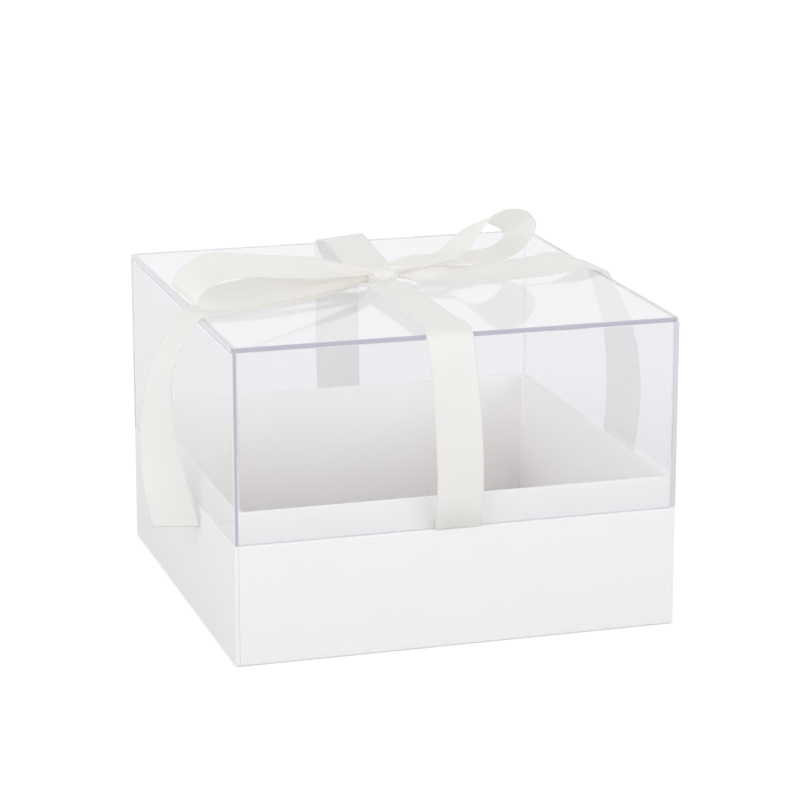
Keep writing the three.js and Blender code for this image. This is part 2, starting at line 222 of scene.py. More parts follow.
def add_slab(name, low, high, edge, corner, sides, steps=4):
    """A flat panel with rounded edges: the outline of its face, whose corners have their own radius, is drawn in along
    quarter circles, and two flat faces close it. Its thin direction is the shortest side. Sides gives each narrow
    side's two finishes, of its flat strip and of its roundings: clear acrylic, or an opaque edge colour that paints
    the shade and light of a clear edge seen end-on."""
    size = high - low
    thin = int(np.argmin(size))
    u, v = [axis for axis in range(3) if axis != thin]
    if (u, v) == (0, 2):  # so that the faces look outward
        u, v = v, u
    middle, half = (low + high) / 2, size / 2
    quarter = np.linspace(0, math.pi / 2, steps)
    t = np.concatenate([-quarter[::-1], quarter])
    face = np.repeat([-1.0, 1.0], steps)
    draw_in = edge * (1 - np.cos(t))
    rise = face * (half[thin] - edge) + edge * np.sin(t)
    rings = []
    for start, sx, sy in CORNERS:
        a = start + quarter[None, :]
        reach = (corner - draw_in)[:, None]
        ring = np.zeros((len(t), steps, 3))
        ring[..., u] = sx * (half[u] - corner) + reach * np.cos(a)
        ring[..., v] = sy * (half[v] - corner) + reach * np.sin(a)
        ring[..., thin] = rise[:, None]
        rings.append(ring)
    points = np.concatenate(rings, axis=1) + middle
    rows, cols = points.shape[:2]
    piece = add_surface(name, points, capped_faces(rows, cols))
    flat = np.zeros((rows - 1, cols), bool)
    flat[steps - 1] = True
    finish = np.zeros((rows - 1, cols), np.int32)
    for k, (strip, rounding) in enumerate(sides):
        span = slice(k * steps, k * steps + steps)
        finish[:, span] = np.where(flat[:, span], strip, rounding)
    piece.data.polygons.foreach_set("use_smooth", np.append(~flat.ravel(), [False, False]))
    piece.data.polygons.foreach_set("material_index", np.append(finish.ravel(), [0, 0]).astype(np.int32))
    # After the clear acrylic, the edge finishes paint shade, a half-shade and light into the rims' colour.
    for finish_name in ("Clear acrylic", "Acrylic edge", "Half-shaded acrylic edge", "Lit acrylic edge"):
        piece.data.materials.append(bpy.data.materials[finish_name])
    return piece


def smoothed(stations, per_span=12):
    """Catmull-Rom values between rows of stations, evaluated as whole arrays."""
    rows = np.asarray(stations, float)
    last = len(rows) - 1
    t = np.linspace(0, last, last * per_span + 1)
    k = np.minimum(t.astype(int), last - 1)
    f = (t - k)[:, None]
    p0, p1, p2, p3 = (rows[np.clip(k + j, 0, last)] for j in (-1, 0, 1, 2))
    return p1 + 0.5 * f * (p2 - p0 + f * (2 * p0 - 5 * p1 + 4 * p2 - p3 + f * (3 * (p1 - p2) + p3 - p0)))


def evenly(rows, step):
    """Rows spaced evenly along the line through their first three columns, and the distance along it."""
    gaps = np.linalg.norm(np.diff(rows[:, :3], axis=0), axis=1)
    run = np.concatenate([[0], np.cumsum(gaps)])
    at = np.linspace(0, run[-1], int(run[-1] / step) + 1)
    return np.stack([np.interp(at, run, column) for column in rows.T], axis=1), at


def ribbon_length(stations):
    """The length of the smoothed line through the stations."""
    return evenly(smoothed(stations), RIBBON_STEP)[1][-1]


def unit(vectors):
    """The vectors' directions, each of length 1."""
    return vectors / np.linalg.norm(vectors, axis=-1, keepdims=True)


def ribbon_surface(rows, along, width, pleats, relief):
    """The middle surface of a ribbon.

    Rows are x, y, z, yaw, pitch and share in metres and degrees, evenly spaced. A point is the centre line, plus v
    half widths across it, plus a height off the surface: pleats, whose depth keeps the cloth's full width where only
    a share of it is left, and relief, a function of the distance along and v.
    """
    centre = rows[:, :3]
    yaw, pitch, share = np.radians(rows[:, 3]), np.radians(rows[:, 4]), rows[:, 5]
    across = np.stack([np.cos(yaw) * np.cos(pitch), np.sin(yaw) * np.cos(pitch), np.sin(pitch)], axis=1)
    tangent = unit(np.gradient(centre, axis=0))
    normal = unit(np.cross(tangent, across))
    v = np.linspace(-1, 1, RIBBON_COLUMNS)
    half = width / 2 * share
    fullness = np.sqrt(4 * np.maximum(1 / np.clip(share, 0.2, 1) - 1, 0))
    deepest = 1.3 * MM
    depth = np.minimum(2 * half * fullness / (2 * math.pi * pleats), deepest)
    warped = v + 0.09 * np.sin(4.1 * v + 0.7)
    wave = np.sin(math.pi * pleats * warped + 0.6) * (1 - 0.35 * v**2)
    height = depth[:, None] * wave[None, :] + relief(along[:, None], v[None, :])
    points = centre[:, None] + v[None, :, None] * (half[:, None] * across)[:, None]
    points += height[..., None] * normal[:, None]
    uv = np.stack(np.broadcast_arrays(v[None, :] * width / 2, along[:, None]), axis=-1)
    return points, uv


def add_ribbon(name, stations, cad_node, pleats, relief):
    """One ribbon: its middle surface, given its thickness by a Solidify modifier."""
    sizes = bpy.context.scene.flower_box_sizes
    rows, along = evenly(smoothed(stations), RIBBON_STEP)
    points, uv = ribbon_surface(rows, along, sizes.ribbon_width, pleats, relief)
    piece = add_surface(name, points, grid_faces(len(rows), RIBBON_COLUMNS), uv)
    wall = piece.modifiers.new("Thickness", "SOLIDIFY")
    wall.thickness = sizes.ribbon_thick
    wall.offset = 0
    piece.data.materials.append(bpy.data.materials["Ivory satin"])
    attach(piece, "lid")
    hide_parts(cad_node)


# ---- materials


def new_group(name, inputs, outputs):
    """An empty shader node group with named sockets. Inputs are (name, kind, default); outputs are (name, kind)."""
    group = bpy.data.node_groups.new(name, "ShaderNodeTree")
    for label, kind, default in inputs:
        group.interface.new_socket(label, in_out="INPUT", socket_type=kind).default_value = default
    for label, kind in outputs:
        group.interface.new_socket(label, in_out="OUTPUT", socket_type=kind)
    return group, group.nodes.new("NodeGroupInput").outputs, group.nodes.new("NodeGroupOutput")


def set_inputs(tree, made, values):
    """Gives a node's inputs their values or links."""
    for key, value in values.items():
        if isinstance(value, bpy.types.NodeSocket):
            tree.links.new(value, made.inputs[key])
        else:
            made.inputs[key].default_value = value


def node(tree, kind, values=None, **settings):
    """A node with its settings, and with values or links for its inputs."""
    made = tree.nodes.new(kind)
    for key, value in settings.items():
        setattr(made, key, value)
    set_inputs(tree, made, values or {})
    return made


def maths(tree, operation, *values):
    """The output of a Math node."""
    return node(tree, "ShaderNodeMath", dict(enumerate(values)), operation=operation).outputs[0]


def ranged(tree, value, source=(0, 1), target=(0, 1), **settings):
    """A value carried from one range to another, and held at its ends."""
    ends = dict(zip(("From Min", "From Max", "To Min", "To Max"), (*source, *target)))
    return node(tree, "ShaderNodeMapRange", {"Value": value, **ends}, **settings).outputs[0]


def noise(tree, place, scale, detail, roughness=0.5):
    """A noise texture's value at a place."""
    values = {"Vector": place, "Scale": scale, "Detail": detail, "Roughness": roughness}
    return node(tree, "ShaderNodeTexNoise", values).outputs["Fac"]


def object_place(tree):
    """The place in Object coordinates."""
    return node(tree, "ShaderNodeTexCoord").outputs["Object"]


def stretched(tree, place, scale):
    """A place with each axis scaled by its own number."""
    return node(tree, "ShaderNodeMapping", {"Vector": place, "Scale": scale}).outputs[0]


def split(tree, place):
    """The X, Y and Z of a place."""
    return node(tree, "ShaderNodeSeparateXYZ", {0: place}).outputs


def brightened(tree, colour, factor):
    """A colour with every channel multiplied by a factor."""
    return node(tree, "ShaderNodeVectorMath", {0: colour, "Scale": factor}, operation="SCALE").outputs[0]


def mix_colours(tree, factor, first, second):
    """The first colour where the factor is 0, the second where it is 1."""
    return node(tree, "ShaderNodeMix", {"Factor": factor, 6: first, 7: second}, data_type="RGBA").outputs[2]


def mix_shaders(tree, factor, first, second):
    """The first shader where the factor is 0, the second where it is 1."""
    return node(tree, "ShaderNodeMixShader", {0: factor, 1: first, 2: second}).outputs[0]


def let_through(tree, colour):
    """A shader that lets light go straight on with a tint."""
    return node(tree, "ShaderNodeBsdfTransparent", {"Color": colour}).outputs[0]


def darker(colour, share):
    """A colour at a share of its brightness, with its alpha."""
    return (*(share * channel for channel in colour), 1)


def use_group(tree, name, values=None):
    """The outputs of a shared node group, placed in a material with its own values."""
    return node(tree, "ShaderNodeGroup", values, node_tree=bpy.data.node_groups[name]).outputs


def new_material(name):
    """A material with a Principled shader, its node tree and the shader."""
    material = bpy.data.materials.new(name)
    material.use_nodes = True
    return material, material.node_tree, material.node_tree.nodes["Principled BSDF"]


def build_mottle_group():
    """Mottle: noise in Object coordinates lightens and darkens a colour by a small spread."""
    inputs = [("Colour", COLOUR, (1, 1, 1, 1)), ("Scale", FLOAT, 60), ("Spread", FLOAT, 0.02)]
    group, source, sink = new_group("Mottle", inputs, [("Colour", COLOUR), ("Mask", FLOAT)])
    mask = noise(group, object_place(group), source["Scale"], 4, 0.6)
    swing = maths(group, "MULTIPLY", maths(group, "SUBTRACT", mask, 0.5), source["Spread"])
    shade = brightened(group, source["Colour"], maths(group, "ADD", swing, 1))
    set_inputs(group, sink, {"Colour": shade, "Mask": mask})


def build_fibre_group():
    """Fibres: two stretched noises crossed over give a paper or board surface its felt-like height."""
    inputs = [("Scale", FLOAT, 1400)]
    group, source, sink = new_group("Fibres", inputs, [("Height", FLOAT), ("Fleck", FLOAT)])
    place = object_place(group)
    ways = [stretched(group, place, stretch) for stretch in ((1, 0.25, 1), (0.25, 1, 0.4))]
    both = maths(group, "ADD", *(noise(group, way, source["Scale"], 3, 0.7) for way in ways))
    set_inputs(group, sink, {"Height": both, "Fleck": ranged(group, both, (1.25, 1.45))})


def build_lap_group():
    """Paper lap: 1 on the cut edge of the paper's lap, a line up the front and the back a little way in from one
    corner, 0 elsewhere, from the wrap's own measures in Object coordinates."""
    group, _, sink = new_group("Paper lap", [], [("Mask", FLOAT)])
    place = split(group, object_place(group))
    away = [maths(group, "ABSOLUTE", place[k]) for k in (0, 1)]
    inset, near = WRAP_HIGH[0] - 2.2 * MM, 0.16 * MM
    line = maths(group, "COMPARE", away[0], inset, near)
    face = maths(group, "GREATER_THAN", away[1], WRAP_HIGH[1] - near)
    corner = maths(group, "GREATER_THAN", maths(group, "MULTIPLY", place[0], place[1]), 0)
    set_inputs(group, sink, {"Mask": maths(group, "MULTIPLY", maths(group, "MULTIPLY", line, face), corner)})


def build_satin_group():
    """Satin: fine cross threads and long warp floats in the ribbon's own UV, in metres, and a mask on its woven
    edges."""
    group, source, sink = new_group(
        "Satin weave",
        [("Half width", FLOAT, 12.5 * MM), ("Edge", FLOAT, 0.9 * MM)],
        [("Height", FLOAT), ("Edge mask", FLOAT), ("Streak", FLOAT)],
    )
    place = node(group, "ShaderNodeUVMap", uv_map="Ribbon").outputs[0]
    across, along, _ = split(group, place)
    warp, streak = (noise(group, stretched(group, place, way), 1, 2) for way in ((4200, 520, 1), (900, 14, 1)))
    rib_width, fade = 0.42 * MM, 0.25 * MM
    rib = maths(group, "SINE", maths(group, "MULTIPLY", along, 2 * math.pi / rib_width))
    inner = maths(group, "SUBTRACT", source["Half width"], source["Edge"])
    mask = ranged(group, maths(group, "SUBTRACT", maths(group, "ABSOLUTE", across), inner), (0, fade))
    fine = maths(group, "MULTIPLY_ADD", rib, 0.12, warp)
    height = maths(group, "MULTIPLY_ADD", maths(group, "MULTIPLY", rib, mask), 0.5, fine)
    set_inputs(group, sink, {"Height": height, "Edge mask": mask, "Streak": streak})


def build_joint_group():
    """Cement line: 1 on the planes where the lid's panels are cemented together, 0 elsewhere, from the lid's own
    measures in Object coordinates."""
    group, _, sink = new_group("Cement line", [], [("Mask", FLOAT)])
    place = split(group, object_place(group))
    away = [maths(group, "ABSOLUTE", place[k]) for k in (0, 1)]
    inner, near = WALL_HIGH[0], 0.38 * MM
    on_top = maths(group, "COMPARE", place[2], LID_LOW[2], near)
    on_side = maths(group, "COMPARE", away[0], inner, near)
    past = [maths(group, "GREATER_THAN", way, inner - near) for way in away]
    flat = maths(group, "MULTIPLY", on_top, maths(group, "MAXIMUM", *past))
    upright = maths(group, "MULTIPLY", on_side, past[1])
    set_inputs(group, sink, {"Mask": maths(group, "MAXIMUM", flat, upright)})


def fibrous_material(name, colour, roughness, spread, scale, depth, lapped=False):
    """Paper, board or tape: a mottled colour, flecks, a felted bump, and a thin grey line where it is lapped."""
    _, tree, shader = new_material(name)
    mottle = use_group(tree, "Mottle", {"Colour": (*colour, 1), "Scale": scale, "Spread": spread})
    fibres = use_group(tree, "Fibres")
    shown = mix_colours(tree, fibres["Fleck"], mottle["Colour"], darker(colour, 0.93))
    if lapped:
        shown = mix_colours(tree, use_group(tree, "Paper lap")["Mask"], shown, darker(colour, 0.78))
    bump = node(tree, "ShaderNodeBump", {"Height": fibres["Height"], "Strength": 0.35, "Distance": depth})
    values = {
        "Base Color": shown,
        "Roughness": ranged(tree, mottle["Mask"], target=(roughness - 0.05, roughness + 0.05)),
        "Normal": bump.outputs[0],
        "Specular IOR Level": 0.35,
    }
    set_inputs(tree, shader, values)


def satin_material(name, colour):
    """Ivory satin: soft sheen, streaks along the warp, and a ribbed woven edge. Part of the light passes through the
    cloth: it enters at the face it meets, and leaves at the other without being scattered a second time."""
    _, tree, shader = new_material(name)
    half_width = bpy.context.scene.flower_box_sizes.ribbon_width / 2
    weave = use_group(tree, "Satin weave", {"Half width": half_width})
    mottle = use_group(tree, "Mottle", {"Colour": (*colour, 1), "Scale": 45, "Spread": 0.03})
    lit = brightened(tree, mottle["Colour"], ranged(tree, weave["Streak"], target=(0.975, 1.02)))
    bump = node(tree, "ShaderNodeBump", {"Height": weave["Height"], "Strength": 0.3, "Distance": 0.03 * MM})
    values = {
        "Base Color": mix_colours(tree, weave["Edge mask"], lit, darker(colour, 0.95)),
        "Roughness": ranged(tree, weave["Streak"], target=(0.4, 0.52)),
        "Normal": bump.outputs[0],
        "Specular IOR Level": 0.6,
        "Metallic": 0.16,
        "Sheen Weight": 0.25,
        "Sheen Roughness": 0.4,
    }
    set_inputs(tree, shader, values)
    glow = node(tree, "ShaderNodeBsdfTranslucent", {"Color": (0.97, 0.96, 0.93, 1)}).outputs[0]
    cloth = mix_shaders(tree, 0.44, shader.outputs[0], glow)
    behind = node(tree, "ShaderNodeNewGeometry").outputs["Backfacing"]
    whole = mix_shaders(tree, behind, cloth, let_through(tree, (1, 1, 1, 1)))
    set_inputs(tree, tree.nodes["Material Output"], {"Surface": whole})


def see_through(tree, shader_output):
    """Lets shadow and diffuse rays straight through a shader, so that what is inside the lid stays lit."""
    path = node(tree, "ShaderNodeLightPath").outputs
    through = maths(tree, "MAXIMUM", path["Is Shadow Ray"], path["Is Diffuse Ray"])
    whole = mix_shaders(tree, through, shader_output, let_through(tree, (0.985, 0.985, 0.99, 1)))
    set_inputs(tree, tree.nodes["Material Output"], {"Surface": whole})


def acrylic_material(name, colour):
    """Clear acrylic: a polished refracting sheet with the faintest handling haze. Light that has turned round inside
    three times leaves it with the tint of a long way through the sheet, given once, and a cement line lets it on."""
    _, tree, shader = new_material(name)
    haze = noise(tree, object_place(tree), 9, 3)
    values = {
        "Base Color": (*colour, 1),
        "Roughness": ranged(tree, haze, (0.45, 0.8), (0, 0.03)),
        "IOR": 1.49,
        "Transmission Weight": 1,
    }
    set_inputs(tree, shader, values)
    path = node(tree, "ShaderNodeLightPath").outputs
    trapped = maths(tree, "GREATER_THAN", path["Glossy Depth"], 2.5)
    again = maths(tree, "GREATER_THAN", path["Transparent Depth"], 0.5)
    edge = let_through(tree, mix_colours(tree, again, (0.8, 0.795, 0.84, 1), (0.96, 0.96, 0.97, 1)))
    body = mix_shaders(tree, trapped, shader.outputs[0], edge)
    cement = let_through(tree, (0.97, 0.97, 0.98, 1))
    see_through(tree, mix_shaders(tree, use_group(tree, "Cement line")["Mask"], body, cement))


def acrylic_edge_material(name, colour):
    """A sawn, polished edge as an opaque colour, faintly mottled, that paints the shade and light of a clear edge seen
    end-on.
    """
    _, tree, shader = new_material(name)
    mottle = use_group(tree, "Mottle", {"Colour": (*colour, 1), "Scale": 150, "Spread": 0.06})
    rough = ranged(tree, mottle["Mask"], target=(0.1, 0.2))
    set_inputs(tree, shader, {"Base Color": mottle["Colour"], "Roughness": rough, "IOR": 1.49})
    see_through(tree, shader.outputs[0])


class FLOWERBOX_OT_make_finishes(bpy.types.Operator):
    """Builds the shared node groups and the box's materials"""

    bl_idname = "flowerbox.make_finishes"
    bl_label = "Make finishes"

    def execute(self, context):
        finishes = context.scene.flower_box_finishes
        for build in (build_mottle_group, build_fibre_group, build_lap_group, build_satin_group, build_joint_group):
            build()
        # After the colour: the roughness, the mottle's spread and scale, and the depth of the fibres.
        fibrous_material("White wrapping paper", finishes.paper_colour, 0.62, 0.02, 38, 0.05 * MM, True)
        # The inside paper's lighter colour partly paints light into the shaded inside of the tray.
        fibrous_material("Inside paper", finishes.inside_colour_and_light, 0.62, 0.02, 38, 0.05 * MM)
        fibrous_material("Greyboard", finishes.board_colour, 0.88, 0.2, 260, 0.12 * MM)
        fibrous_material("Gummed tape", finishes.tape_colour, 0.55, 0.06, 120, 0.05 * MM)
        satin_material("Ivory satin", finishes.ribbon_colour)
        acrylic_material("Clear acrylic", finishes.acrylic_colour)
        # Edge finishes: painted shade, painted light, and a painted half-shade between them.
        dark, pale = finishes.edge_shade_paint, finishes.edge_light_paint
        acrylic_edge_material("Acrylic edge", dark)
        acrylic_edge_material("Half-shaded acrylic edge", tuple((a + b) / 2 for a, b in zip(dark, pale)))
        acrylic_edge_material("Lit acrylic edge", pale)
        return {"FINISHED"}


# ---- base and neck


class FLOWERBOX_OT_add_outer_wrap(bpy.types.Operator):
    """The outer paper: a thin outline round each wall, over the rim, down inside and in under the floor, with its
    visible corners rounded, carried round the box"""

    bl_idname = "flowerbox.add_outer_wrap"
    bl_label = "Outer wrap"

    def execute(self, context):
        sizes = context.scene.flower_box_sizes
        bottom, top, paper = WRAP_LOW[2], WRAP_HIGH[2], sizes.paper
        wall = WRAP_HIGH[1] + TRAY_INNER
        corners = [
            (0, bottom),
            (sizes.under_turn, bottom),
            (sizes.under_turn, bottom + paper),
            (paper, bottom + paper),
            (paper, top - paper),
            (wall, top - paper),
            (wall, top - sizes.turn_in),
            (wall + paper, top - sizes.turn_in),
            (wall + paper, top),
            (0, top),
        ]
        big, small = sizes.board_round, sizes.board_round - paper
        outline = rounded_outline(corners, [big, 0, 0, small, small, small / 2, 0, 0, small / 2 + paper, big])
        piece = add_ring("outer_wrap", outline, WRAP_HIGH, big)
        piece.data.materials.append(bpy.data.materials["White wrapping paper"])
        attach(piece, "base")
        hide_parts("outer_wrap_paper")
        return {"FINISHED"}


class FLOWERBOX_OT_add_neck_wrap(bpy.types.Operator):
    """The neck's paper: a thin outline outside, over the top and down inside, with rounded top edges, carried round"""

    bl_idname = "flowerbox.add_neck_wrap"
    bl_label = "Neck wrap"

    def execute(self, context):
        sizes = context.scene.flower_box_sizes
        bottom, top, paper = NECK_LOW[2], NECK_HIGH[2], sizes.paper
        turn_out = 40 * MM
        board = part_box("neck_front_board")[1][1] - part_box("neck_front_board")[0][1]
        inner = 2 * paper + board
        corners = [
            (0, top - turn_out),
            (paper, top - turn_out),
            (paper, top - paper),
            (inner - paper, top - paper),
            (inner - paper, bottom),
            (inner, bottom),
            (inner, top),
            (0, top),
        ]
        big, small = sizes.neck_round, sizes.neck_round - paper
        outline = rounded_outline(corners, [0, 0, small, small, 0, 0, big, big])
        piece = add_ring("neck_wrap", outline, NECK_HIGH, big)
        piece.data.materials.append(bpy.data.materials["Inside paper"])
        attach(piece, "base")
        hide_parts("neck_wrap_paper")
        return {"FINISHED"}


class FLOWERBOX_OT_finish_boards(bpy.types.Operator):
    """Gives the boards, the tapes, the liner card and the underside sheet their materials"""

    bl_idname = "flowerbox.finish_boards"
    bl_label = "Boards and sheets"

    def execute(self, context):
        finishes = {
            "_board": "Greyboard",
            "corner_tape": "Gummed tape",
            "underside": "White wrapping paper",
            "liner": "Inside paper",
        }
        for name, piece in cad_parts.items():
            for part, finish in finishes.items():
                if part in name:
                    piece.data.materials.clear()
                    piece.data.materials.append(bpy.data.materials[finish])
        return {"FINISHED"}


# ---- lid


class FLOWERBOX_OT_add_lid_panels(bpy.types.Operator):
    """The five acrylic panels, each a slab with rounded polished edges, a cement line apart"""

    bl_idname = "flowerbox.add_lid_panels"
    bl_label = "Acrylic panels"

    def execute(self, context):
        sizes = context.scene.flower_box_sizes
        joint = sizes.panel_joint / 2
        # The finish slots: clear acrylic, then edges with painted shade, a painted half-shade and painted light.
        clear, dark, grey, pale = range(4)
        cemented, deep, lined = (clear, clear), (dark, dark), (pale, grey)
        soft, faint, sharp = (grey, grey), (pale, pale), (dark, pale)
        # How far each panel stays in from its low and high corners, and the finishes of its sides, whose
        # edges get clear acrylic, painted shade, a painted half-shade or painted light.
        panels = {
            "lid_top_panel": ((0, 0, joint), (0, 0, 0), (deep, faint, faint, lined)),
            "lid_front_panel": ((joint, 0, 0), (joint, 0, joint), (cemented, cemented, cemented, soft)),
            "lid_back_panel": ((joint, 0, 0), (joint, 0, joint), (cemented, cemented, cemented, faint)),
            "lid_left_panel": ((0, 0, 0), (0, 0, joint), (faint, faint, cemented, sharp)),
            "lid_right_panel": ((0, 0, 0), (0, 0, joint), (faint, faint, cemented, soft)),
        }
        for name, (from_low, from_high, sides) in panels.items():
            low, high = map(np.array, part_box(name))
            low, high, edge = low + from_low, high - from_high, sizes.panel_round
            corner = sizes.lid_corner if name == "lid_top_panel" else edge
            piece = add_slab(name.replace("lid_", "acrylic_"), low, high, edge, corner, sides)
            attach(piece, "lid")
            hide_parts(name)
        return {"FINISHED"}


# ---- ribbons

# Rows are [beyond the wall, above the lid's top, share of the width, yaw, pitch], in millimetres and degrees.
FRONT_ARM = [
    (2.2, -97, 1, 0, 0),
    (4.8, -91, 1, 0, 0),
    (7.6, -82, 1, 0, 0),
    (9.8, -68, 1, 0, 0),
    (10.3, -54, 1, 0, 0),
    (9.7, -40, 1, 0, 0),
    (8.4, -27, 1, 0, 0),
    (6.6, -15, 1, 0, 0),
    (4.2, -6, 1, 0, 0),
    (1.9, -0.6, 1, 0, 0),
    (-1.2, 2.2, 1, 0, 0),
    (-5.5, 3.1, 1, 0, -1),
    (-13, 3.2, 1, 0, -2),
    (-24, 3, 1, 0, -3.5),
    (-40, 2.8, 1, 0, -3.5),
    (-70, 3, 1, 0, -3.5),
    (-96, 3.4, 1, 0, -3),
    (-108, 3.8, 0.97, 0, -1),
]
BACK_ARM = [
    (2.9, -70, 1, -12, 0),
    (3, -40, 1, -12, 0),
    (3.3, -18, 1, -13, 1),
    (3.6, -8, 1, -15, 3),
    (3.8, -2.8, 1, -15, 6),
    (2.4, 0.4, 1, -15, 7),
    (-2, 2.4, 1, -15, 8),
    (-8, 4, 1, -12, 8),
    (-14, 5, 1, -6, 6),
    (-25, 5.4, 1, -2, 3),
    (-45, 5.2, 1, 0, 0),
    (-70, 4.8, 1, 0, 0),
    (-90, 4.4, 1, 0, 0),
    (-105, 3.8, 0.95, 0, 0),
]


def arm_stations(side, drop_x, edge_x, rows):
    """An arm of the band from under the lid's lower edge to the knot, in millimetres. x runs from the drop's to the
    edge's over the wall's height, and on to the knot's over the top."""
    half, top, low = LID_HIGH[1] / MM, LID_TOP / MM, WALL_LOW[2] / MM
    under, height = low - SEAT, top - low
    outside = side * (half + SEAT)
    inside = side * (half - (WALL_HIGH[1] - WALL_LOW[1]) / MM - SEAT)
    beyond, above, share, yaw, pitch = np.array(rows, float).T
    down, over = np.maximum(-above / height, 0), np.maximum(-beyond / half, 0)
    x = edge_x + (drop_x - edge_x) * down + (KNOT[0] / MM - edge_x) * over
    arm = np.stack([x, outside + side * beyond, top + SEAT + above, yaw, pitch, share], axis=1)
    turn, near, end = 0.12, 2.6, 5  # the radius under the wall, and two heights above it
    places = [
        (inside, under + end),
        (inside, under + near),
        (inside, under + turn),
        (inside + side * turn, under),
        (outside - side * turn, under),
        (outside, under + turn),
        (outside + side * 0.5, under + near),
    ]
    tuck = [(drop_x, y, z, 0, 0, 1) for y, z in places]
    return np.concatenate([tuck, arm])


class FLOWERBOX_OT_add_band(bpy.types.Operator):
    """The ribbon round the lid, from one tucked end to the other, drawn together under the knot"""

    bl_idname = "flowerbox.add_band"
    bl_label = "Band"

    def execute(self, context):
        # Where the band's middle passes under the lid, and where it crosses the top's edge.
        front_x, back_x = (-1, -6.5), (3.0, 2.6)
        height, drawn_in = 0.4, 0.5  # above the lid and the share of the width, under the knot
        front, back = arm_stations(-1, *front_x, FRONT_ARM), arm_stations(1, *back_x, BACK_ARM)
        knot = np.array([[KNOT[0] / MM, KNOT[1] / MM, LID_TOP / MM + height, 0, 0, drawn_in]])
        stations = np.concatenate([front, knot, back[::-1]])
        stations[:, :3] *= MM
        total = ribbon_length(stations)

        def relief(s, v):
            """A slow ripple along the edges, at most 0.15 mm, and none at the far end."""
            return 0.15 * MM * np.sin(s / (19 * MM)) * v**2 * np.sin(3 * v + s / (27 * MM)) * (s < total)

        add_ribbon("band", stations, "band_ribbon", 2.5, relief)
        return {"FINISHED"}


# Rows are [distance from the knot's end, sideways, above the lid, yaw, pitch, share], in millimetres and degrees.
LEFT_LOOP = [
    (-9, -0.4, 8, -71, -8, 0.3),
    (6, -1.6, 11.5, -71, -14, 0.76),
    (20, -2.2, 14.3, -71, -16, 0.95),
    (38, -2.7, 16.8, -71, -19, 1),
    (62, -3.6, 20.5, -71, -20.5, 1),
    (82, -4.4, 23.9, -71, -21, 1),
    (94, -4.5, 24.2, -71, -20.5, 1),
    (103, -3.9, 21.3, -71, -18, 1),
    (109.2, -2.8, 16.4, -71, -15, 1),
    (110.6, -1.8, 12.2, -71, -14, 1),
    (107.5, -0.7, 8.2, -71, -14, 1),
    (98.5, 0, 6.2, -71, -15, 1),
    (84, 0.4, 5.8, -71, -19, 1),
    (66, 0.4, 6.7, -71, -22, 1),
    (46, 0.4, 7.4, -71, -22, 1),
    (28, 0.3, 7.4, -71, -20, 0.95),
    (12, 0, 7, -71, -17, 0.76),
    (-6, 0, 6.4, -71, -10, 0.45),
]
RIGHT_LOOP = [
    (-9, 0, 8, -73, 0, 0.3),
    (12, 0, 9.9, -73, -3, 0.82),
    (32.5, 0, 10.8, -71, 7, 1),
    (40.8, 0, 15.1, -73, 8, 1),
    (46.8, 0, 19.8, -78, 8, 1),
    (52.8, 0, 24.1, -83, 12, 1),
    (59.1, 0, 27.3, -84, 19, 1),
    (65.5, 0, 28.5, -79, 25, 1),
    (73.2, 0, 27.2, -69, 30, 1),
    (80.3, 0, 24.2, -60, 29, 1),
    (84.5, 0, 19, -57, 21, 1),
    (81.8, 0, 13.5, -60, 13, 1),
    (74.2, 0, 9, -66, 4, 1),
    (64.2, 0, 6.8, -76, -3.5, 1),
    (53.2, 0, 6.6, -86, -4, 1),
    (42.6, 0, 6.4, -90, 0, 0.96),
    (26, 0, 6.4, -88, 3, 0.8),
    (-6, 0, 6.2, -74, 3, 0.45),
]


def loop_stations(rows, turn):
    """A loop's rows along a line that leaves the knot's middle at an angle, as places in metres."""
    along, sideways, above, yaw, pitch, share = np.array(rows, float).T
    a = math.radians(turn)
    x = KNOT[0] / MM + (KNOT_REACH + along) * math.cos(a) - sideways * abs(math.sin(a))
    y = KNOT[1] / MM + (KNOT_REACH + along) * math.sin(a) + sideways * abs(math.cos(a))
    return np.stack([x * MM, y * MM, LID_TOP + above * MM, yaw, pitch, share], axis=1)


def crease_relief(total, ends, seed):
    """Creases that fan out of the knot: long waves in v whose height fades with the distance from each held end, and
    a slow slack wave that starts and ends at nothing."""
    phases = np.random.default_rng(seed).uniform(0, 2 * math.pi, 4)

    def relief(s, v):
        near = sum(np.exp(-np.abs(s - end) / (17 * MM)) for end in ends)
        waves = np.sin(5.2 * v + phases[0] + 0.5 * np.sin(s / (11 * MM))) + 0.6 * np.sin(9.3 * v + phases[1])
        slack = 0.12 * MM * np.sin(s / (23 * MM) + phases[2]) * np.cos(2.2 * v + phases[3])
        return 0.55 * MM * near * waves + slack * np.minimum(np.minimum(s, total - s) / (15 * MM), 1)

    return relief


class FLOWERBOX_OT_add_loops(bpy.types.Operator):
    """The bow's two loops, each a ribbon that leaves the knot, turns and comes back under itself"""

    bl_idname = "flowerbox.add_loops"
    bl_label = "Loops"

    def execute(self, context):
        for name, rows, turn, seed in (("left_loop", LEFT_LOOP, 199, 3), ("right_loop", RIGHT_LOOP, 20, 8)):
            stations = loop_stations(rows, turn)
            total = ribbon_length(stations)
            relief = crease_relief(total, (0, total), seed)
            add_ribbon(name, stations, "bow_" + name, 3.0, relief)
        return {"FINISHED"}


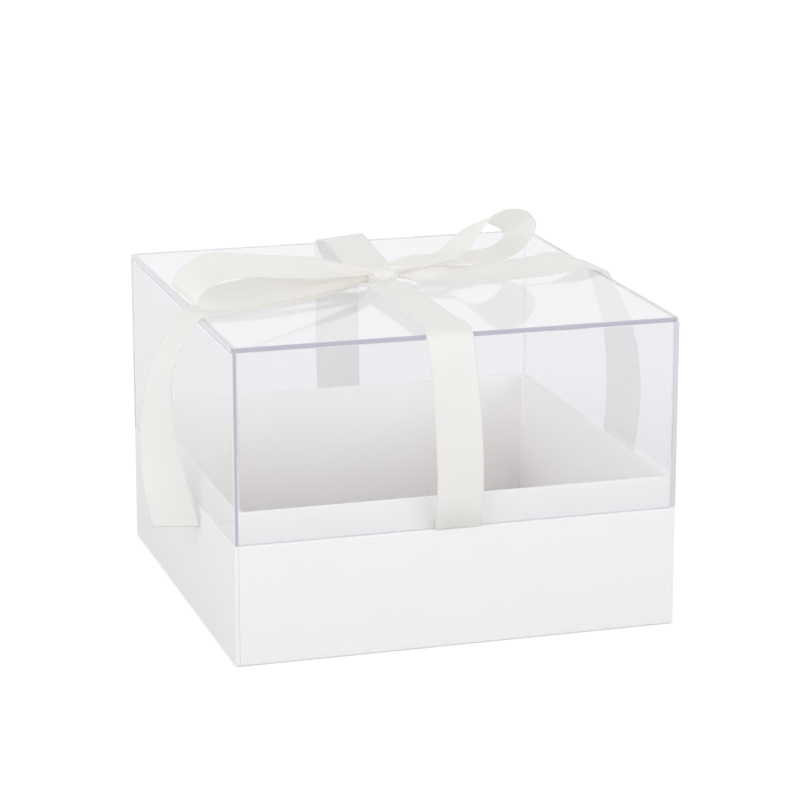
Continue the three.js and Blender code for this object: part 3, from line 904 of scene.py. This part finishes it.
# On the lid: [share of the way from the knot to the edge, behind the knot, above the lid, yaw, pitch, share].
# Past the edge: [beyond it, behind the knot, below the lid's top, yaw, pitch, share].
LEFT_TAIL = (
    [
        (-0.04, -3.0, 5.5, -72, 0, 0.36),
        (0.12, -8.8, 1.8, -72, 0, 0.8),
        (0.4, -18.8, 0.7, -71, 0, 1),
        (0.7, -31.2, 0.9, -72, 0, 1),
        (0.91, -40.5, 1.9, -78, -2, 1),
    ],
    [
        (1.5, -43.5, -1.1, -86, -1, 1),
        (9, -44, 7, -82, -3, 1),
        (15.5, -44, 18.4, -81, -3, 1),
        (19.3, -43, 30, -75, -1, 1),
        (21.2, -42, 44, -66, 3, 1),
        (21.8, -41.5, 58.5, -56, 8, 1),
        (20.8, -41.5, 72.6, -47, 11, 1),
        (19, -41.5, 84, -37, 12, 1),
        (16.2, -41.5, 99, -29, 9, 1),
        (12.7, -42, 114.5, -26, 3, 1),
    ],
)
RIGHT_TAIL = (
    [
        (-0.04, 1.6, 5.2, -74, -14, 0.42),
        (0.03, -0.5, 4.8, -76, -22, 0.6),
        (0.09, -2, 4.4, -78, -25, 0.75),
        (0.16, -2.3, 4.5, -79, -21, 0.86),
        (0.25, -1.7, 3.4, -80, -12, 1),
        (0.38, -1, 2.7, -80, -10, 1),
        (0.5, -2, 3.6, -79, -11, 1),
        (0.61, -2.6, 4.5, -78, -12, 1),
        (0.72, -1.8, 5.4, -76, -13, 1),
        (0.8, 1.2, 6, -74, -13, 1),
        (0.882, 5.4, 5, -76, -9, 1),
        (0.955, 7, 2.2, -81, -4, 1),
    ],
    [
        (1.6, 7.2, -0.7, -83, -1, 1),
        (4.8, 7.2, 6.5, -80, 0, 1),
        (10, 7.2, 17, -74, 0, 1),
        (15.2, 7.2, 31, -68, 0, 1),
        (18.6, 7.2, 47, -64, 0, 1),
        (20, 7.2, 63, -62, 0, 1),
        (20, 7.2, 79, -62, 0, 1),
        (18.5, 7.2, 95, -64, 0, 1),
        (16, 7.2, 111, -66, 0, 1),
    ],
)


def tail_stations(rows, side):
    """A tail's rows from the knot's end over the lid and past its edge, as places in metres."""
    on_lid, hanging = (np.array(part, float) for part in rows)
    a = math.radians(KNOT_TURN)
    start = KNOT[0] / MM + (side * KNOT_REACH - on_lid[0, 1] * math.sin(a)) / math.cos(a)
    edge = side * LID_HIGH[0] / MM
    x = np.concatenate([start + (edge - start) * on_lid[:, 0], edge + side * hanging[:, 0]])
    y = KNOT[1] / MM + np.concatenate([on_lid[:, 1], hanging[:, 1]])
    z = LID_TOP / MM + np.concatenate([on_lid[:, 2], -hanging[:, 2]])
    rest = np.concatenate([on_lid[:, 3:], hanging[:, 3:]])
    return np.concatenate([np.stack([x, y, z], axis=1) * MM, rest], axis=1)


class FLOWERBOX_OT_add_tails(bpy.types.Operator):
    """The bow's two free ends, over the lid and past its left and right edges"""

    bl_idname = "flowerbox.add_tails"
    bl_label = "Tails"

    def execute(self, context):
        for name, rows, side, seed, folds, trough, dip in (
            ("left_tail", LEFT_TAIL, -1, 5, 2.5, 0.7 * MM, -0.8 * MM),
            ("right_tail", RIGHT_TAIL, 1, 11, 0.9, 1.8 * MM, 2.0 * MM),
        ):
            stations = tail_stations(rows, side)
            creases = crease_relief(ribbon_length(stations), (0,), seed)

            def relief(s, v, creases=creases, trough=trough, dip=dip):
                """Creases, a trough where the ribbon leaves the knot, and a dent where it has sunk."""
                scoop = trough * (1 - v**2) * np.exp(-(((s - 17 * MM) / (11 * MM)) ** 4))
                dent = dip * np.exp(-(((s - 52 * MM) / (8 * MM)) ** 2) - ((v + 0.1) / 0.5) ** 2)
                return creases(s, v) + scoop + dent

            add_ribbon(name, stations, "bow_" + name, folds, relief)
        return {"FINISHED"}


class FLOWERBOX_OT_add_knot(bpy.types.Operator):
    """The knot: a turn of ribbon round the gathered bow. Its section is a rounded oblong whose size swells along the
    knot's line, with folds that run round it and lean a little"""

    bl_idname = "flowerbox.add_knot"
    bl_label = "Knot"

    def execute(self, context):
        u = np.linspace(-1, 1, 81)[:, None]
        turn = np.linspace(0, 2 * math.pi, 96, endpoint=False)[None, :]
        length, depth, height = 20 * MM, 14 * MM, 9 * MM
        lean = u + 0.10 * np.sin(turn + 0.6)
        swell = 0.74 + 0.26 * np.exp(-((lean / 0.6) ** 4))
        folds = 0.035 * np.sin(17 * lean + 1.2 * np.sin(turn)) * np.exp(-((lean / 0.62) ** 4))
        gathers = 0.06 * np.sin(7 * turn + 2 * u) * (1 - np.exp(-((lean / 0.6) ** 4)))
        radius = swell + folds + gathers
        side = np.sign(np.cos(turn)) * np.abs(np.cos(turn)) ** 0.8
        rise = np.sign(np.sin(turn)) * np.abs(np.sin(turn)) ** 0.8
        a = math.radians(KNOT_TURN)
        along = u * length / 2 + 0 * turn
        across = side * radius * depth / 2
        lift = 0.3 * MM
        x = KNOT[0] + along * math.cos(a) - across * math.sin(a)
        y = KNOT[1] + along * math.sin(a) + across * math.cos(a)
        points = np.stack([x, y, KNOT[2] + lift + rise * radius * height / 2], axis=-1)
        half_width, girth = 12.5 * MM, 6 * MM
        uv = np.stack(np.broadcast_arrays(u * half_width, turn * girth), axis=-1)
        piece = add_surface("knot", points, capped_faces(*points.shape[:2]), uv)
        piece.data.materials.append(bpy.data.materials["Ivory satin"])
        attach(piece, "lid")
        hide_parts("bow_knot")
        return {"FINISHED"}


# ---- stage


def place_facing(name, data, target, azimuth, elevation, distance):
    """An object that faces a target, from an azimuth to the right of the front and an elevation, in degrees."""
    a, e = math.radians(azimuth), math.radians(elevation)
    direction = Vector((math.sin(a) * math.cos(e), -math.cos(a) * math.cos(e), math.sin(e)))
    holder = bpy.data.objects.new(name, data)
    holder.location = Vector(target) + direction * distance
    holder.rotation_mode = "QUATERNION"
    holder.rotation_quaternion = direction.to_track_quat("Z", "Y")
    bpy.context.scene.collection.objects.link(holder)
    return holder


def add_soft_light(name, azimuth, elevation, spread, share):
    """A soft light from far away. Share is the part of its own colour that a surface facing it shows by this light
    alone."""
    lamp = bpy.data.lights.new(name, "SUN")
    lamp.angle, lamp.energy = math.radians(spread), share * math.pi
    place_facing(name, lamp, (0, 0, 0), azimuth, elevation, 2)


class FLOWERBOX_OT_add_stage(bpy.types.Operator):
    """The floor, the even room light, two soft lights and the camera"""

    bl_idname = "flowerbox.add_stage"
    bl_label = "Stage"

    def execute(self, context):
        finishes = context.scene.flower_box_finishes
        white = (1, 1, 1, 1)
        reach, drop = 6.0, -0.0002
        line = np.linspace(-reach, reach, 5)
        x, y = np.meshgrid(line, line)
        points = np.stack([x, y, np.full_like(x, drop)], axis=-1)
        floor = add_surface("floor", points, grid_faces(len(line), len(line)))
        material, tree, shader = new_material("Floor")
        path = node(tree, "ShaderNodeLightPath").outputs
        lift = 0
        for ray, share in (("Is Camera Ray", 0.42), ("Is Transmission Ray", 0.2), ("Is Glossy Ray", 0.12)):
            lift = maths(tree, "MULTIPLY_ADD", path[ray], share, lift)
        values = {
            "Base Color": (0.72, 0.72, 0.72, 1),
            "Roughness": 0.9,
            "Specular IOR Level": 0,
            "Emission Color": white,
            "Emission Strength": lift,
        }
        set_inputs(tree, shader, values)
        floor.data.materials.append(material)

        # Light goes round inside the white tray more often than the usual four times.
        context.scene.cycles.diffuse_bounces = 10
        world = context.scene.world = bpy.data.worlds.new("Room")
        world.use_nodes = True
        tree = world.node_tree
        up = split(tree, object_place(tree))["Z"]
        span = (1, finishes.ceiling_share)
        overhead = ranged(tree, up, (0.72, 0.99), span, interpolation_type="SMOOTHSTEP")
        shown = tree.nodes["Background"]
        set_inputs(tree, shown, {"Color": white, "Strength": overhead})
        room = node(tree, "ShaderNodeBackground", {"Color": white, "Strength": finishes.room_light})
        path = node(tree, "ShaderNodeLightPath").outputs
        seen = maths(tree, "MAXIMUM", path["Is Camera Ray"], path["Is Glossy Ray"])
        seen = maths(tree, "MAXIMUM", seen, path["Is Transmission Ray"])
        whole = mix_shaders(tree, seen, room.outputs[0], shown.outputs[0])
        set_inputs(tree, tree.nodes["World Output"], {"Surface": whole})

        add_soft_light("Right light", 43, 22, 40, 0.2)
        add_soft_light("Left light", -60, 22, 60, 0.25)

        # The camera fitted to the box's corners. Its focal length is in pixels of the photograph's frame.
        focal, frame_width, sensor = 3056.64, 800, 36
        target = (0.004239, 0, 0.102106)
        camera = place_facing("Camera", bpy.data.cameras.new("Camera"), target, -16.924, 14.683, 1.68586)
        camera.data.sensor_width = sensor
        camera.data.lens = focal / frame_width * sensor
        camera.data.clip_start, camera.data.clip_end = 0.05, 60
        context.scene.camera = camera
        context.scene.view_settings.view_transform = "Standard"
        return {"FINISHED"}


class FLOWERBOX_PT_panel(bpy.types.Panel):
    """Lists the sizes, the colours and the pieces"""

    bl_label = "Flower box"
    bl_idname = "FLOWERBOX_PT_panel"
    bl_space_type = "VIEW_3D"
    bl_region_type = "UI"
    bl_category = "Flower box"

    def draw(self, context):
        for settings in (context.scene.flower_box_sizes, context.scene.flower_box_finishes):
            column = self.layout.column()
            for name in settings.bl_rna.properties.keys():
                if name not in ("rna_type", "name"):
                    column.prop(settings, name)
        for operator in OPERATORS:
            self.layout.operator(operator.bl_idname)


OPERATORS = (
    FLOWERBOX_OT_make_finishes,
    FLOWERBOX_OT_add_outer_wrap,
    FLOWERBOX_OT_add_neck_wrap,
    FLOWERBOX_OT_finish_boards,
    FLOWERBOX_OT_add_lid_panels,
    FLOWERBOX_OT_add_band,
    FLOWERBOX_OT_add_loops,
    FLOWERBOX_OT_add_tails,
    FLOWERBOX_OT_add_knot,
    FLOWERBOX_OT_add_stage,
)
CLASSES = (FlowerBoxSizes, FlowerBoxFinishes, *OPERATORS, FLOWERBOX_PT_panel)


def register():
    for item in CLASSES:
        bpy.utils.register_class(item)
    bpy.types.Scene.flower_box_sizes = bpy.props.PointerProperty(type=FlowerBoxSizes)
    bpy.types.Scene.flower_box_finishes = bpy.props.PointerProperty(type=FlowerBoxFinishes)


def unregister():
    del bpy.types.Scene.flower_box_finishes
    del bpy.types.Scene.flower_box_sizes
    for item in reversed(CLASSES):
        bpy.utils.unregister_class(item)


def main():
    register()
    bpy.ops.flowerbox.make_finishes()
    bpy.ops.flowerbox.add_outer_wrap()
    bpy.ops.flowerbox.add_neck_wrap()
    bpy.ops.flowerbox.finish_boards()
    bpy.ops.flowerbox.add_lid_panels()
    bpy.ops.flowerbox.add_band()
    bpy.ops.flowerbox.add_loops()
    bpy.ops.flowerbox.add_tails()
    bpy.ops.flowerbox.add_knot()
    bpy.ops.flowerbox.add_stage()


if __name__ == "__main__":
    main()
